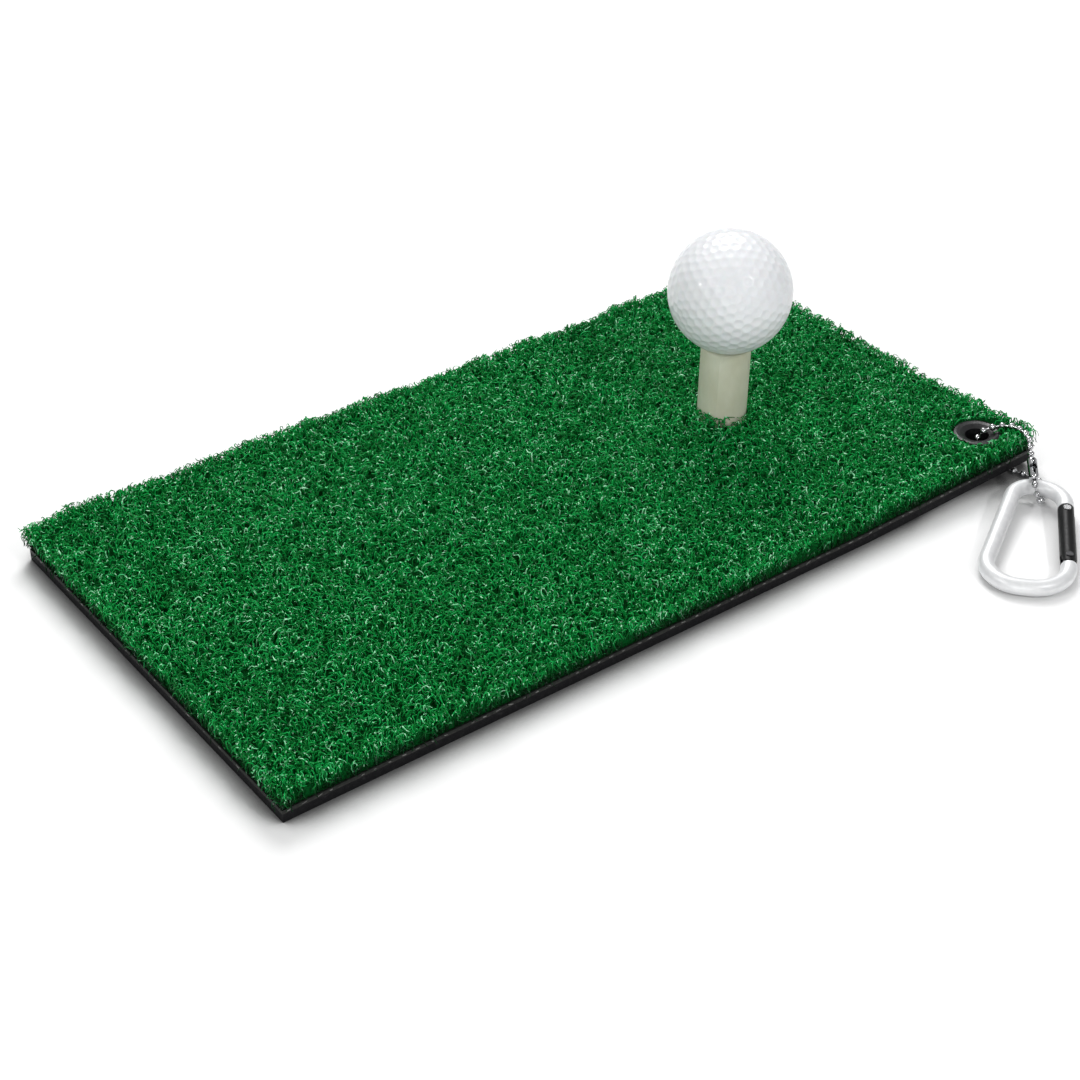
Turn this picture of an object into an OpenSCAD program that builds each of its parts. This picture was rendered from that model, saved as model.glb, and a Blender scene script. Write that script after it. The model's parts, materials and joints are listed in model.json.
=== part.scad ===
// Pocket golf hitting mat: artificial turf on a foam base, with a rubber tee, a ball,
// and an eyelet whose bead chain holds a carabiner.
// Millimetres. The origin is the middle of the underside, X runs along the mat, Z is up.

/* [Mat] */
// Length of the mat
mat_l = 305; // [295:1:315]
// Width of the mat
mat_w = 155; // [148:1:162]
// Thickness of the foam base sheet
base_t = 3; // [3:0.1:3.4]
// Thickness of the latex coat that locks the tufts
latex_t = 0.5; // [0.3:0.1:0.6]
// Thickness of the woven backing cloth
cloth_t = 0.8; // [0.6:0.1:0.9]
// Height of the turf pile above its backing
pile_h = 8.4; // [8.2:0.1:8.8]
// Height that the eyelet's corner curls up to
corner_lift = 2.8; // [2.7:0.1:3.1]
// Length of the curl, measured from that corner along the diagonal
curl_l = 56; // [52:1:60]

/* [Tee and ball] */
// Distance of the tee from the mat's right edge
tee_inset = 76.3; // [70:0.1:82]
// Outer diameter of the rubber tee
tee_od = 17.4; // [15:0.1:19]
// Bore of the rubber tee
tee_id = 12; // [9:0.1:13]
// Height of the tee's rim above the underside
tee_h = 38.8; // [25:0.1:45]
// Diameter of the tee's foot
foot_d = 40; // [30:1:46]
// Thickness of the tee's foot
foot_t = 1.6; // [1.2:0.1:2]
// Diameter of the ball
ball_d = 42.67; // [42.67:0.01:43]
// Thickness of the ball's cover
cover_t = 1.9; // [1:0.1:3]

/* [Eyelet] */
// Distance of the eyelet's centre from the two edges
eyelet_inset = 13.6; // [13.4:0.1:13.8]
// Diameter of the eyelet's flange
flange_d = 16.6; // [15.8:0.1:17]
// Diameter of the eyelet's hole
eyelet_hole_d = 8.3; // [8.1:0.1:8.6]

/* [Chain] */
// Diameter of a bead
bead_d = 2.4; // [2.2:0.05:2.4]
// Distance between the centres of two beads
bead_pitch = 3.35; // [3.3:0.01:3.4]
// Length of the coupling
coupling_l = 10; // [9.8:0.1:10.2]

/* [Carabiner] */
// Diameter of the carabiner's bar
bar_d = 5.5; // [5:0.1:5.5]
// Distance between the centre lines of the top bar and the basket
frame_l = 55.3; // [54:0.1:57]
// Width of the top, between the gate's line and the spine's corner
top_w = 16.2; // [16:0.1:18]
// Width of the basket, between the gate's line and the spine's corner
basket_w = 29; // [29:0.1:31]
// Angle that the gate opens to
gate_open = 25; // [10:1:25]

/* [Hidden] */
$fn = 64;
// Larger than the whole mat, for cutting solids in two
big = 400;
// Extra depth that lets a cut run past a face
cut = 1;

// Levels of the laminate, from the underside up
latex_z = base_t;
cloth_z = latex_z + latex_t;
pile_z = cloth_z + cloth_t;
top_z = pile_z + pile_h;
// Room round the tee, and round the flange in the pile
tee_gap = 0.3;
well_gap = 0.6;

// The corner with the eyelet, and the crease across it
corner = [mat_l / 2, -mat_w / 2, 0];
crease = corner + [-1, 1, 0] * curl_l / sqrt(2);
curl_a = asin(corner_lift / curl_l);

// Tee and ball
tee_x = mat_l / 2 - tee_inset;
seat_gap = 0.1;
rim_chamfer = 0.6;
foot_chamfer = 0.4;
ball_rest_gap = 0.05;
ball_z = tee_h + sqrt(pow(ball_d / 2, 2) - pow(tee_id / 2 + rim_chamfer, 2)) + ball_rest_gap;
core_gap = 0.05;

// Eyelet, in the flat mat's own levels
barrel_t = 0.8;
barrel_r = eyelet_hole_d / 2 + barrel_t;
fit_gap = 0.05;
flange_z = 10.2;
flange_under_z = 8.9;
washer_z = 0.9;
washer_t = 1;
washer_d = flange_d - 0.4;
lip_z = 0.6;
lip_r = barrel_r + 0.6;
// The flange's profile as [distance in from its edge, distance down from its top]
flange_profile = [[0.5, flange_z - flange_under_z], [0, 1], [0.3, 0.2], [1.2, 0], [2.4, 0.25],
  [3.3, 0.7]];
throat_drop = 1.2;

// Bead chain: each bead is a hollow shell, each link a wire with a round head at both ends
shell_t = 0.25;
// Sine of the bend angle below which a chain counts as straight
straight_enough = 0.01;
link_hole_r = 0.36;
wire_r = 0.28;
head_r = 0.42;
head_x = 0.5;
pivot_gap = 0.1;
channel_r = 1.5;
channel_knee_r = 1.6;
// Where the chain leaves the mat: both strands pass through this vertical line
pivot = [-7.5, -3.3];
// Height of a bead that lies on the ground
bead_rest = bead_d / 2 + 0.02;
top_pivot = [pivot.x, pivot.y, 15.2];
under_pivot = [pivot.x, pivot.y, bead_rest];
// Routes of the strands, measured from the mat's corner
top_route = [top_pivot, [-6, -0.4, 15.5], [-5.3, 3, 15.4], [-5.6, 6.4, 15], [-7.2, 9.5, 14.2],
  [-10.1, 11.3, 13.6], [-12.6, 12.7, 12.3], [-13.6, 13.7, 9.5], [-13.8, 13.9, 7]];
under_route = [under_pivot, [-8.8, 0, bead_rest], [-10.2, 3.2, bead_rest], [-11.5, 6.4, bead_rest],
  [-12.5, 9.3, 1.32], [-13.3, 11.9, 3.2], [-13.7, 13.3, 6.2], [-13.7, 13.6, 8]];
// Direction of the straight strand from the mat's edge to the coupling's end
drop_dir = [-0.617, -0.73, -0.27] / norm([-0.617, -0.73, -0.27]);
// Beads between the mat's edge and the coupling, with the one that the coupling holds
drop_count = 3;
coupling_r = 1.75;
coupling_wall = 0.35;
coupling_beads = 2 * bead_pitch;
// Hole at both ends of the coupling, and the seam along it with the hole in its middle
coupling_hole_r = 0.62;
seam_w = 1;
seam_land = 1.5;
snap_hole_r = 1.3;
loop_start = top_pivot + drop_dir * (drop_count * bead_pitch + coupling_beads);
loop_route = [loop_start, [-19.4, -17.4, 9.8], [-20.4, -19.2, 7.8], [-19.8, -20.2, 5.2],
  [-17.6, -20, 2.6], [-14.4, -18.2, 1.4], [-11, -15.4, bead_rest], [-8.7, -13, bead_rest],
  [-6.7, -10, bead_rest], [-6.7, -6.6, bead_rest], under_pivot];
loop_count = 10;
curve_steps = 10;

// Carabiner: its own X runs from the gate's pivot to its nose, its own Y from gate to spine
carabiner_at = [-27.25, -39.35, 0];
carabiner_turn = 42.9;
carabiner_tilt = 3;
basket_x = -31;
top_x = basket_x + frame_l;
outline = [[top_x, 0], [top_x, top_w], [basket_x, basket_w], [basket_x, 0]];
outline_r = [9.2, 8, 10.5, 12.5];
gate_foot_x = -17.4;
gate_nose_x = 12.9;
gate_end_gap = 0.35;
pivot_x = gate_foot_x + bar_d / 2;
latch_x = 10.7;
gate_bore_r = 2.15;
spring_bore_end = 0;
nose_pocket_x = 7.9;
tongue_half_t = 1;
tongue_half_w = 1.6;
tongue_tip_x = 8.7;
slot_half_w = 1.25;
rivet_r = 0.8;
rivet_play = 0.07;
latch_r = 0.85;
latch_play = 0.2;
pin_head_t = 0.25;
pin_head_edge = 0.4;
cam_y = 1.5;
cam_x = 1.75;
plunger_gap = 0.07;
plunger_r = 2.05;
plunger_t = 2;
stem_r = 0.9;
stem_l = 5;
// Room that the plunger needs behind it when the gate is fully open
plunger_play = 0.13;
plunger_travel = cam_y * sin(gate_open) - cam_x * (1 - cos(gate_open)) + plunger_play;
spring_r = 1.6;
spring_wire_r = 0.22;
spring_turns = 9;
wire_sides = 6;
steps_per_turn = 12;
bar_sides = 20;
bend_steps = 12;

// ---- functions ----

// One point of a smooth curve between b and c
function blend(a, b, c, d, t) =
  0.5 * (2 * b + (c - a) * t + (2 * a - 5 * b + 4 * c - d) * t * t
  + (3 * b - a - 3 * c + d) * t * t * t);

// A smooth curve through a list of points
function smooth(p) = let (n = len(p) - 1) concat(
  [for (i = [0 : n - 1]) for (j = [0 : curve_steps - 1])
    blend(p[max(i - 1, 0)], p[i], p[i + 1], p[min(i + 2, n)], j / curve_steps)],
  [p[n]]);

// Where the line from a to b is at distance r from c
function at_distance(a, b, c, r) =
  let (d = b - a, f = a - c, k = d * d, h = f * d, e = f * f - r * r)
  a + d * (-h + sqrt(h * h - k * e)) / k;

// Index of the first point of the curve, from i on, that is at least one pitch from c
function reach(curve, c, i) =
  i >= len(curve) || norm(curve[i] - c) >= bead_pitch ? i : reach(curve, c, i + 1);

// Bead centres, one pitch apart along a curve
function string_beads(curve, c, i = 1) =
  let (j = reach(curve, c, i))
  j >= len(curve) ? [c]
  : concat([c], string_beads(curve, at_distance(curve[j - 1], curve[j], c, bead_pitch), j));

function unit(v) = v / norm(v);

// Rings of a round bar of radius r, one ring for each frame [centre, heading] in the XY plane
function bar_rings(frames, r) = [for (f = frames) [for (j = [0 : bar_sides - 1])
  let (b = 360 * j / bar_sides)
  [f[0].x - r * cos(b) * sin(f[1]), f[0].y + r * cos(b) * cos(f[1]), -r * sin(b)]]];

// Frames round the bend at q, on the way from p to s
function bend_frames(p, q, s, r) =
  let (
    u = unit(q - p),
    v = unit(s - q),
    turn = acos(u * v),
    side = sign(cross(u, v)),
    centre = q - u * r * tan(turn / 2) + side * r * [-u.y, u.x],
    heading = atan2(u.y, u.x))
  [for (i = [0 : bend_steps]) let (h = heading + side * turn * i / bend_steps)
    [centre + side * r * [sin(h), -cos(h)], h]];

// ---- bead centres ----
top_beads = string_beads(smooth(top_route), top_pivot);
under_beads = string_beads(smooth(under_route), under_pivot);
drop_beads = [for (i = [1 : drop_count]) top_pivot + drop_dir * i * bead_pitch];
loop_all = string_beads(smooth(loop_route), loop_start);
loop_beads = [for (i = [0 : loop_count - 1]) loop_all[i]];

// ---- the laminated mat ----

// The crease's own frame: X runs across it towards the corner, lifted by angle a
module at_crease(a) translate(crease) rotate([0, 0, -45]) rotate([0, -a, 0]) children();

// Everything on the corner's side of the crease
module corner_side(a) at_crease(a) translate([0, -big, -big]) cube([big, 2 * big, 2 * big]);

// Lifts what lies on the corner's side
module curl_up() at_crease(curl_a) rotate([0, 0, 45]) translate(-crease) children();

// Bends a flat layer at the crease, with a mitre so that stacked layers stay face to face
module bent() {
  difference() {
    children();
    corner_side(curl_a / 2);
  }
  curl_up() intersection() {
    children();
    corner_side(-curl_a / 2);
  }
}

module slab(z, t) translate([-mat_l / 2, -mat_w / 2, z]) cube([mat_l, mat_w, t]);

module at_tee(z = 0) translate([tee_x, 0, z]) children();

module at_eyelet(z = 0) translate(corner + [-eyelet_inset, eyelet_inset, z]) children();

// The holes that go through every layer of the mat
module through_holes() {
  at_tee(-cut) cylinder(d = tee_od + 2 * tee_gap, h = top_z + 2 * cut);
  at_eyelet(-cut) cylinder(r = barrel_r + fit_gap, h = top_z + 2 * cut);
}

// A round channel along a list of points, measured from the corner
module channel(points) at_corner() for (i = [0 : len(points) - 2]) {
  along(points[i], points[i + 1]) cylinder(r = channel_r, h = norm(points[i + 1] - points[i]));
  translate(points[i]) sphere(r = channel_knee_r);
}

// Black closed-cell foam, with a seat for the tee's foot and the eyelet's washer
module base_sheet() color("#202122") difference() {
  bent() difference() {
    slab(0, base_t);
    through_holes();
    at_tee(-cut) cylinder(d = foot_d + 2 * tee_gap, h = cut + foot_t + seat_gap);
    at_eyelet(-cut) cylinder(d = flange_d + 2 * fit_gap, h = cut + washer_z + washer_t);
  }
  channel([under_route[0], under_route[1], under_route[2], under_route[3], under_route[4]]);
}

module latex_coat() color("#2b2b28") bent() difference() {
  slab(latex_z, latex_t);
  through_holes();
}

module backing_cloth() color("#181a18") bent() difference() {
  slab(cloth_z, cloth_t);
  through_holes();
}

// The pile as one plain block, with a well where the eyelet presses it down
module turf_pile() color("#155e2b") difference() {
  bent() difference() {
    slab(pile_z, pile_h);
    through_holes();
    at_eyelet(flange_under_z) cylinder(d = flange_d + 2 * well_gap, h = top_z);
  }
  channel([for (i = [0 : 5]) top_route[i]]);
}

// ---- tee and ball ----

// Tube with a wide foot that holds it under the mat
module rubber_tee() color("#a3a793") at_tee() rotate_extrude() polygon([
  [tee_id / 2, 0],
  [foot_d / 2, 0],
  [foot_d / 2, foot_t - foot_chamfer],
  [foot_d / 2 - foot_chamfer, foot_t],
  [tee_od / 2, foot_t],
  [tee_od / 2, tee_h - rim_chamfer],
  [tee_od / 2 - rim_chamfer, tee_h],
  [tee_id / 2 + rim_chamfer, tee_h],
  [tee_id / 2, tee_h - rim_chamfer]]);

module ball_core() color("#d8c9a0") at_tee(ball_z)
  sphere(d = ball_d - 2 * cover_t - 2 * core_gap, $fn = 96);

module ball_cover() color("#f2f3f2") at_tee(ball_z) difference() {
  sphere(d = ball_d, $fn = 96);
  sphere(d = ball_d - 2 * cover_t, $fn = 96);
}

// ---- eyelet ----

// Dished flange on a barrel that runs down through the mat, with a lip under the washer
module eyelet() color("#252627") curl_up() at_eyelet() rotate_extrude() polygon([
  [eyelet_hole_d / 2, lip_z],
  [lip_r, lip_z],
  [lip_r, washer_z],
  [barrel_r, washer_z],
  [barrel_r, flange_under_z],
  each [for (p = flange_profile) [flange_d / 2 - p.x, flange_z - p.y]],
  [eyelet_hole_d / 2, flange_z - throat_drop]]);

module eyelet_washer() color("#2a2b2c") curl_up() at_eyelet(washer_z) difference() {
  cylinder(d = washer_d, h = washer_t);
  translate([0, 0, -cut]) cylinder(r = barrel_r + fit_gap, h = washer_t + 2 * cut);
}

// ---- bead chain ----

module at_corner() translate(corner) children();

// Turns Z to point from a towards b, starting at a
module along(a, b) {
  d = b - a;
  translate(a) rotate([0, acos(d.z / norm(d)), atan2(d.y, d.x)]) children();
}

// Puts the origin at c, X along x and the direction m in the XY plane, on Y's side
module in_bend(c, x, m) {
  n = cross(x, m);
  z = unit(norm(n) > straight_enough ? n : cross(x, abs(x.z) < 0.7 ? [0, 0, 1] : [1, 0, 0]));
  y = cross(z, x);
  multmatrix([
    [x.x, y.x, z.x, c.x],
    [x.y, y.y, z.y, c.y],
    [x.z, y.z, z.z, c.z],
    [0, 0, 0, 1]]) children();
}

// Hollow bead at c with a hole towards each of its neighbours
module bead(c, neighbours) {
  x = unit(neighbours[0] - c);
  m = len(neighbours) > 1 ? unit(neighbours[1] - c) : -x;
  in_bend(c, x, m) difference() {
    rotate([0, 0, -90]) difference() {
      sphere(d = bead_d, $fn = 32);
      sphere(d = bead_d - 2 * shell_t, $fn = 32);
    }
    for (a = len(neighbours) > 1 ? [0, acos(max(-1, x * m))] : [0])
      rotate([0, 90, a]) cylinder(r = link_hole_r, h = bead_d, $fn = 24);
  }
}

// A string of beads, with more neighbours for the first and the last of them
module beads(p, before = [], after = []) color("#c9cbcc") at_corner() for (i = [0 : len(p) - 1])
  bead(p[i], concat(
    i > 0 ? [p[i - 1]] : before,
    i < len(p) - 1 ? [p[i + 1]] : after));

// Wire between two beads, with a head inside each
module link(a, b) along(a, b) {
  l = norm(b - a);
  translate([0, 0, head_x]) cylinder(r = wire_r, h = l - 2 * head_x, $fn = 24);
  for (z = [head_x, l - head_x]) translate([0, 0, z]) sphere(r = head_r, $fn = 24);
}

// Wire that swivels against the outside of bead a and has its head inside bead b
module swivel_link(a, b) along(a, b) {
  l = norm(b - a);
  start = bead_d / 2 + pivot_gap;
  translate([0, 0, start]) cylinder(r = wire_r, h = l - head_x - start, $fn = 24);
  translate([0, 0, l - head_x]) sphere(r = head_r, $fn = 24);
}

module links(p) for (i = [0 : len(p) - 2]) link(p[i], p[i + 1]);

module chain_top_beads() beads(top_beads, [], [under_beads[len(under_beads) - 1]]);

module chain_top_links() color("#b4b6b8") at_corner() links(top_beads);

module chain_under_beads() beads(under_beads, [], [top_beads[len(top_beads) - 1]]);

module chain_under_links() color("#b4b6b8") at_corner() {
  links(under_beads);
  link(under_beads[len(under_beads) - 1], top_beads[len(top_beads) - 1]);
}

module chain_drop_beads() beads(drop_beads, [top_pivot]);

module chain_drop_links() color("#b4b6b8") at_corner() {
  swivel_link(top_pivot, drop_beads[0]);
  links(drop_beads);
}

// Folded clip that closes the chain, with the last bead of both strands inside it
module chain_coupling() color("#c2c4c5") at_corner()
  along(drop_beads[drop_count - 1], loop_start) translate([0, 0, coupling_beads / 2])
  difference() {
    capsule(coupling_r, coupling_l);
    capsule(coupling_r - coupling_wall, coupling_l - 2 * coupling_wall);
    cylinder(r = coupling_hole_r, h = 2 * coupling_l, center = true, $fn = 24);
    translate([-coupling_r, 0, 0])
      cube([2 * coupling_r, seam_w, coupling_l - 2 * seam_land], center = true);
    translate([-coupling_r, 0, 0]) rotate([0, 90, 0])
      cylinder(r = snap_hole_r, h = coupling_r, $fn = 32);
  }

module capsule(r, l) {
  cylinder(r = r, h = l - 2 * r, center = true);
  for (s = [-1, 1]) translate([0, 0, s * (l / 2 - r)]) sphere(r = r);
}

module chain_loop_beads() beads(loop_beads, [], [under_pivot]);

module chain_loop_links() color("#b4b6b8") at_corner() {
  links(loop_beads);
  swivel_link(under_pivot, loop_beads[loop_count - 1]);
}

// ---- carabiner ----

module at_carabiner() translate(corner + carabiner_at) rotate([0, 0, carabiner_turn])
  translate([basket_x, 0, bar_d / 2]) rotate([0, -carabiner_tilt, 0])
  translate([-basket_x, 0, 0]) children();

// Closed solid through a list of rings with the same number of points each
module through_rings(rings) {
  n = len(rings[0]);
  last = len(rings) - 1;
  points = [for (ring = rings) each ring];
  sides = [for (i = [0 : last - 1]) for (j = [0 : n - 1])
    let (k = (j + 1) % n)
    [i * n + j, i * n + k, (i + 1) * n + k, (i + 1) * n + j]];
  polyhedron(points, concat(
    [[for (j = [n - 1 : -1 : 0]) j]],
    sides,
    [[for (j = [0 : n - 1]) last * n + j]]));
}

nose_end = [gate_nose_x + gate_end_gap, 0];
foot_end = [gate_foot_x - gate_end_gap, 0];

// The bar's path, from the nose round to the gate's pivot
path = concat([nose_end], outline, [foot_end]);
bar_frames = concat(
  [[nose_end, 0]],
  [for (i = [1 : 4]) each bend_frames(path[i - 1], path[i], path[i + 1], outline_r[i - 1])],
  [[foot_end, 0]]);

module carabiner_bar() through_rings(bar_rings(bar_frames, bar_d / 2));

// Flat tongue of the frame, drawn as an outline in the carabiner's plane
module tongue() translate([0, 0, -tongue_half_t]) linear_extrude(2 * tongue_half_t) children();

module carabiner_frame() color("#d3d5d6") at_carabiner() {
  carabiner_bar();
  tongue() difference() {
    union() {
      translate([foot_end.x - cut, -tongue_half_w])
        square([pivot_x - foot_end.x + cut, 2 * tongue_half_w]);
      translate([pivot_x, 0]) circle(r = tongue_half_w);
      translate([pivot_x, 0]) square([cam_x, cam_y]);
    }
    translate([pivot_x, 0]) circle(r = rivet_r + rivet_play);
  }
  tongue() difference() {
    translate([tongue_tip_x, -tongue_half_w])
      square([nose_end.x - tongue_tip_x + cut, 2 * tongue_half_w]);
    translate([latch_x, 0]) circle(r = latch_r + latch_play);
    translate([latch_x - latch_r - latch_play, 0])
      square([2 * (latch_r + latch_play), 2 * tongue_half_w]);
  }
}

module lengthwise(x) translate([x, 0, 0]) rotate([0, 90, 0]) children();

// Round bar with a bore for the spring at its foot and a pocket for the nose at its tip
module gate_bar() color("#26272a") at_carabiner() difference() {
  union() {
    lengthwise(pivot_x) cylinder(d = bar_d, h = gate_nose_x - pivot_x);
    intersection() {
      lengthwise(gate_foot_x) cylinder(d = bar_d, h = bar_d);
      translate([pivot_x, 0, 0]) cylinder(d = bar_d, h = bar_d, center = true);
    }
  }
  lengthwise(gate_foot_x - cut)
    cylinder(r = gate_bore_r, h = spring_bore_end - gate_foot_x + cut);
  translate([gate_foot_x - cut, 0, -slot_half_w])
    cube([pivot_x - gate_foot_x + 2 * cut, bar_d, 2 * slot_half_w]);
  lengthwise(nose_pocket_x) cylinder(r = gate_bore_r, h = gate_nose_x - nose_pocket_x + cut);
  translate([nose_pocket_x, -bar_d, -slot_half_w])
    cube([gate_nose_x - nose_pocket_x + cut, bar_d, 2 * slot_half_w]);
  translate([pivot_x, 0, 0]) cylinder(r = rivet_r + fit_gap, h = 2 * bar_d, center = true);
  translate([latch_x, 0, 0]) cylinder(r = latch_r + fit_gap, h = 2 * bar_d, center = true);
}

// Cross pin with a flat head on both sides of the gate
module cross_pin(x, r) at_carabiner() translate([x, 0, 0]) {
  cylinder(r = r, h = bar_d, center = true);
  for (s = [-1, 1]) translate([0, 0, s * (bar_d + pin_head_t) / 2])
    cylinder(r = r + pin_head_edge, h = pin_head_t, center = true);
}

module gate_rivet() color("#55575a") cross_pin(pivot_x, rivet_r);

module latch_pin() color("#dfe0e1") cross_pin(latch_x, latch_r);

plunger_x = pivot_x + cam_x + plunger_gap;

module gate_plunger() color("#b9bbbd") at_carabiner() {
  lengthwise(plunger_x) cylinder(r = plunger_r, h = plunger_t);
  lengthwise(plunger_x + plunger_t) cylinder(r = stem_r, h = stem_l);
}

// Coil spring as a wire swept along a helix
module gate_spring() color("#9fa1a3") at_carabiner() {
  from = plunger_x + plunger_t + plunger_travel + spring_wire_r;
  to = spring_bore_end - spring_wire_r - fit_gap;
  steps = spring_turns * steps_per_turn;
  through_rings([for (i = [0 : steps])
    let (x = from + (to - from) * i / steps, a = 360 * i / steps_per_turn)
    [for (j = [0 : wire_sides - 1])
      let (b = 360 * j / wire_sides, r = spring_r + spring_wire_r * cos(b))
      [x + spring_wire_r * sin(b), r * cos(a), r * sin(a)]]]);
}

base_sheet();
latex_coat();
backing_cloth();
turf_pile();
rubber_tee();
ball_core();
ball_cover();
eyelet();
eyelet_washer();
chain_top_beads();
chain_top_links();
chain_under_beads();
chain_under_links();
chain_drop_beads();
chain_drop_links();
chain_coupling();
chain_loop_beads();
chain_loop_links();
carabiner_frame();
gate_bar();
gate_rivet();
latch_pin();
gate_spring();
gate_plunger();
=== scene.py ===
"""Looks of the pocket golf hitting mat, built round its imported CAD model.

Metres, in the row frame: X along the mat, Z up. Sizes come from the frame wherever it holds them.
"""
import json
import math

import bmesh
import bpy
import numpy as np
from mathutils import Matrix, Vector
from mathutils.kdtree import KDTree


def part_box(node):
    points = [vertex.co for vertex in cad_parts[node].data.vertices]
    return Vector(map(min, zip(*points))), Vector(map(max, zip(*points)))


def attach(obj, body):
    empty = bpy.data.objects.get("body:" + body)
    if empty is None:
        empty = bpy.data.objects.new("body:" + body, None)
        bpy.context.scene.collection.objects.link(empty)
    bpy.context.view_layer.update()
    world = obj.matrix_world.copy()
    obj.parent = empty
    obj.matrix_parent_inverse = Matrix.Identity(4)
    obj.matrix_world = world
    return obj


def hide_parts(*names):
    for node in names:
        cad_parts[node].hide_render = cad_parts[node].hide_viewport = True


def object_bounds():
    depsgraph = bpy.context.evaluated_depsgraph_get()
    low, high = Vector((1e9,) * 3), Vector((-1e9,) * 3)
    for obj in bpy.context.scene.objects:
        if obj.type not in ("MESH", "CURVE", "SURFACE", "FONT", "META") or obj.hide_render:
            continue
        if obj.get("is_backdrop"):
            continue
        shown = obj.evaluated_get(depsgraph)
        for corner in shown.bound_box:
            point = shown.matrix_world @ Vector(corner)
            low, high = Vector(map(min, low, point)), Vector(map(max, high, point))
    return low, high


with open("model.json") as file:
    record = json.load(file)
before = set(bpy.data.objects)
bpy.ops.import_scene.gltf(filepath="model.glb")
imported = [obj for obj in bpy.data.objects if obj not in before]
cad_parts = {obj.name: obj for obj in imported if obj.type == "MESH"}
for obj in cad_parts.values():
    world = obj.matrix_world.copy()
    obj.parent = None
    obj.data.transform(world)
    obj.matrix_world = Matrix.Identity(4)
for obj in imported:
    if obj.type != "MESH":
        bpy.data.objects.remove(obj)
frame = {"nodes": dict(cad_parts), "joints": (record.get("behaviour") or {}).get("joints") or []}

CAD_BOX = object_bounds()
MM = 0.001
TAU = 2 * math.pi
RANDOM = np.random.default_rng(20)

# ---- what the frame says ----


def points_of(*nodes):
    """Vertices of CAD nodes as one array."""
    return np.vstack([np.array([v.co for v in frame["nodes"][n].data.vertices], float) for n in nodes])


SHEET_LO, SHEET_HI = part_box("base_sheet")
PILE_LO, PILE_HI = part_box("turf_pile")
TEE_LO, TEE_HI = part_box("rubber_tee")
BALL_LO, BALL_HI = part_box("ball_cover")
BACKING_TOP = PILE_LO.z


def corner_curl():
    """The point where the crease meets the diagonal, the curl's length and its angle."""
    same, tip_size = 0.01 * MM, 0.3 * MM
    base = points_of("base_sheet")
    front_flat = base[(base[:, 2] < same) & (base[:, 1] < SHEET_LO.y + same)]
    length = (SHEET_HI.x - front_flat[:, 0].max()) / math.sqrt(2)
    reach = (base[:, 0] - base[:, 1]) / math.sqrt(2)
    tip = base[reach > reach.max() - tip_size]
    crease = np.array([SHEET_HI.x, SHEET_LO.y]) + np.array([-1, 1]) * length / math.sqrt(2)
    return crease, length, math.asin(tip[:, 2].min() / length)


CREASE, CURL_LENGTH, CURL_ANGLE = corner_curl()
PILE_TOP = PILE_HI.z - CURL_LENGTH * math.sin(CURL_ANGLE)
DIAGONAL = np.array([1, -1]) / math.sqrt(2)


def curled(p):
    """Points of the flat mat, moved as the curled corner moves them."""
    flat = p.reshape(-1, 3).copy()
    beyond = (flat[:, :2] - CREASE) @ DIAGONAL
    moves = beyond > 0
    d = beyond[moves]
    z = flat[moves, 2]
    step = d * math.cos(CURL_ANGLE) - z * math.sin(CURL_ANGLE) - d
    flat[moves, :2] += step[:, None] * DIAGONAL
    flat[moves, 2] = d * math.sin(CURL_ANGLE) + z * math.cos(CURL_ANGLE)
    return flat.reshape(p.shape)


def joint(name):
    return next(j for j in frame["joints"] if j["name"] == name)


TEE_CENTRE = np.array([(TEE_LO.x + TEE_HI.x) / 2, (TEE_LO.y + TEE_HI.y) / 2])
FOOT_RADIUS = (TEE_HI.x - TEE_LO.x) / 2
TEE_HEIGHT = TEE_HI.z


def tee_radii():
    """Bore and outside of the tee's tube, read at its top."""
    p = points_of("rubber_tee")
    r = np.hypot(p[:, 0] - TEE_CENTRE[0], p[:, 1] - TEE_CENTRE[1])
    high = r[p[:, 2] > TEE_HEIGHT - 1 * MM]
    return high.min(), high.max()


TEE_BORE, TEE_RADIUS = tee_radii()
FOOT_HEIGHT = 1.6 * MM

BALL_CENTRE = (BALL_LO + BALL_HI) / 2
BALL_RADIUS = (BALL_HI.z - BALL_LO.z) / 2
CORE_RADIUS = (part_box("ball_core")[1].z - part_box("ball_core")[0].z) / 2
# Height of the ball's centre with the tee pushed right down
BALL_LOWEST = BALL_CENTRE.z + joint("tee_slide")["range_m"][0]


def eyelet_place():
    """Centre of the eyelet in the flat mat, its flange's radius and the height of its top."""
    p = points_of("eyelet")
    upward = np.array([math.sin(CURL_ANGLE) * -DIAGONAL[0], math.sin(CURL_ANGLE) * -DIAGONAL[1],
                       math.cos(CURL_ANGLE)])
    # Undo the curl, so that the flange lies level
    d = (p[:, :2] - CREASE) @ DIAGONAL
    along = d * math.cos(CURL_ANGLE) + p[:, 2] * math.sin(CURL_ANGLE)
    level = p[:, :2] + (along - d)[:, None] * DIAGONAL
    centre = (level.min(0) + level.max(0)) / 2
    radius = (level.max(0) - level.min(0)).max() / 2
    top = (p @ upward).max() - np.append(CREASE, 0) @ upward
    return centre, radius, top


EYELET_CENTRE, FLANGE_RADIUS, FLANGE_TOP = eyelet_place()

# ---- small tools ----


def add_object(name, data):
    """A new object in the scene, round a mesh, a light or a camera."""
    obj = bpy.data.objects.new(name, data)
    bpy.context.scene.collection.objects.link(obj)
    return obj


def add_mesh(name, verts, faces):
    """A new smooth mesh object from plain lists."""
    mesh = bpy.data.meshes.new(name)
    mesh.from_pydata([tuple(v) for v in verts], [], [tuple(f) for f in faces])
    mesh.validate()
    mesh.update()
    mesh.shade_smooth()
    return add_object(name, mesh)


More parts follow.
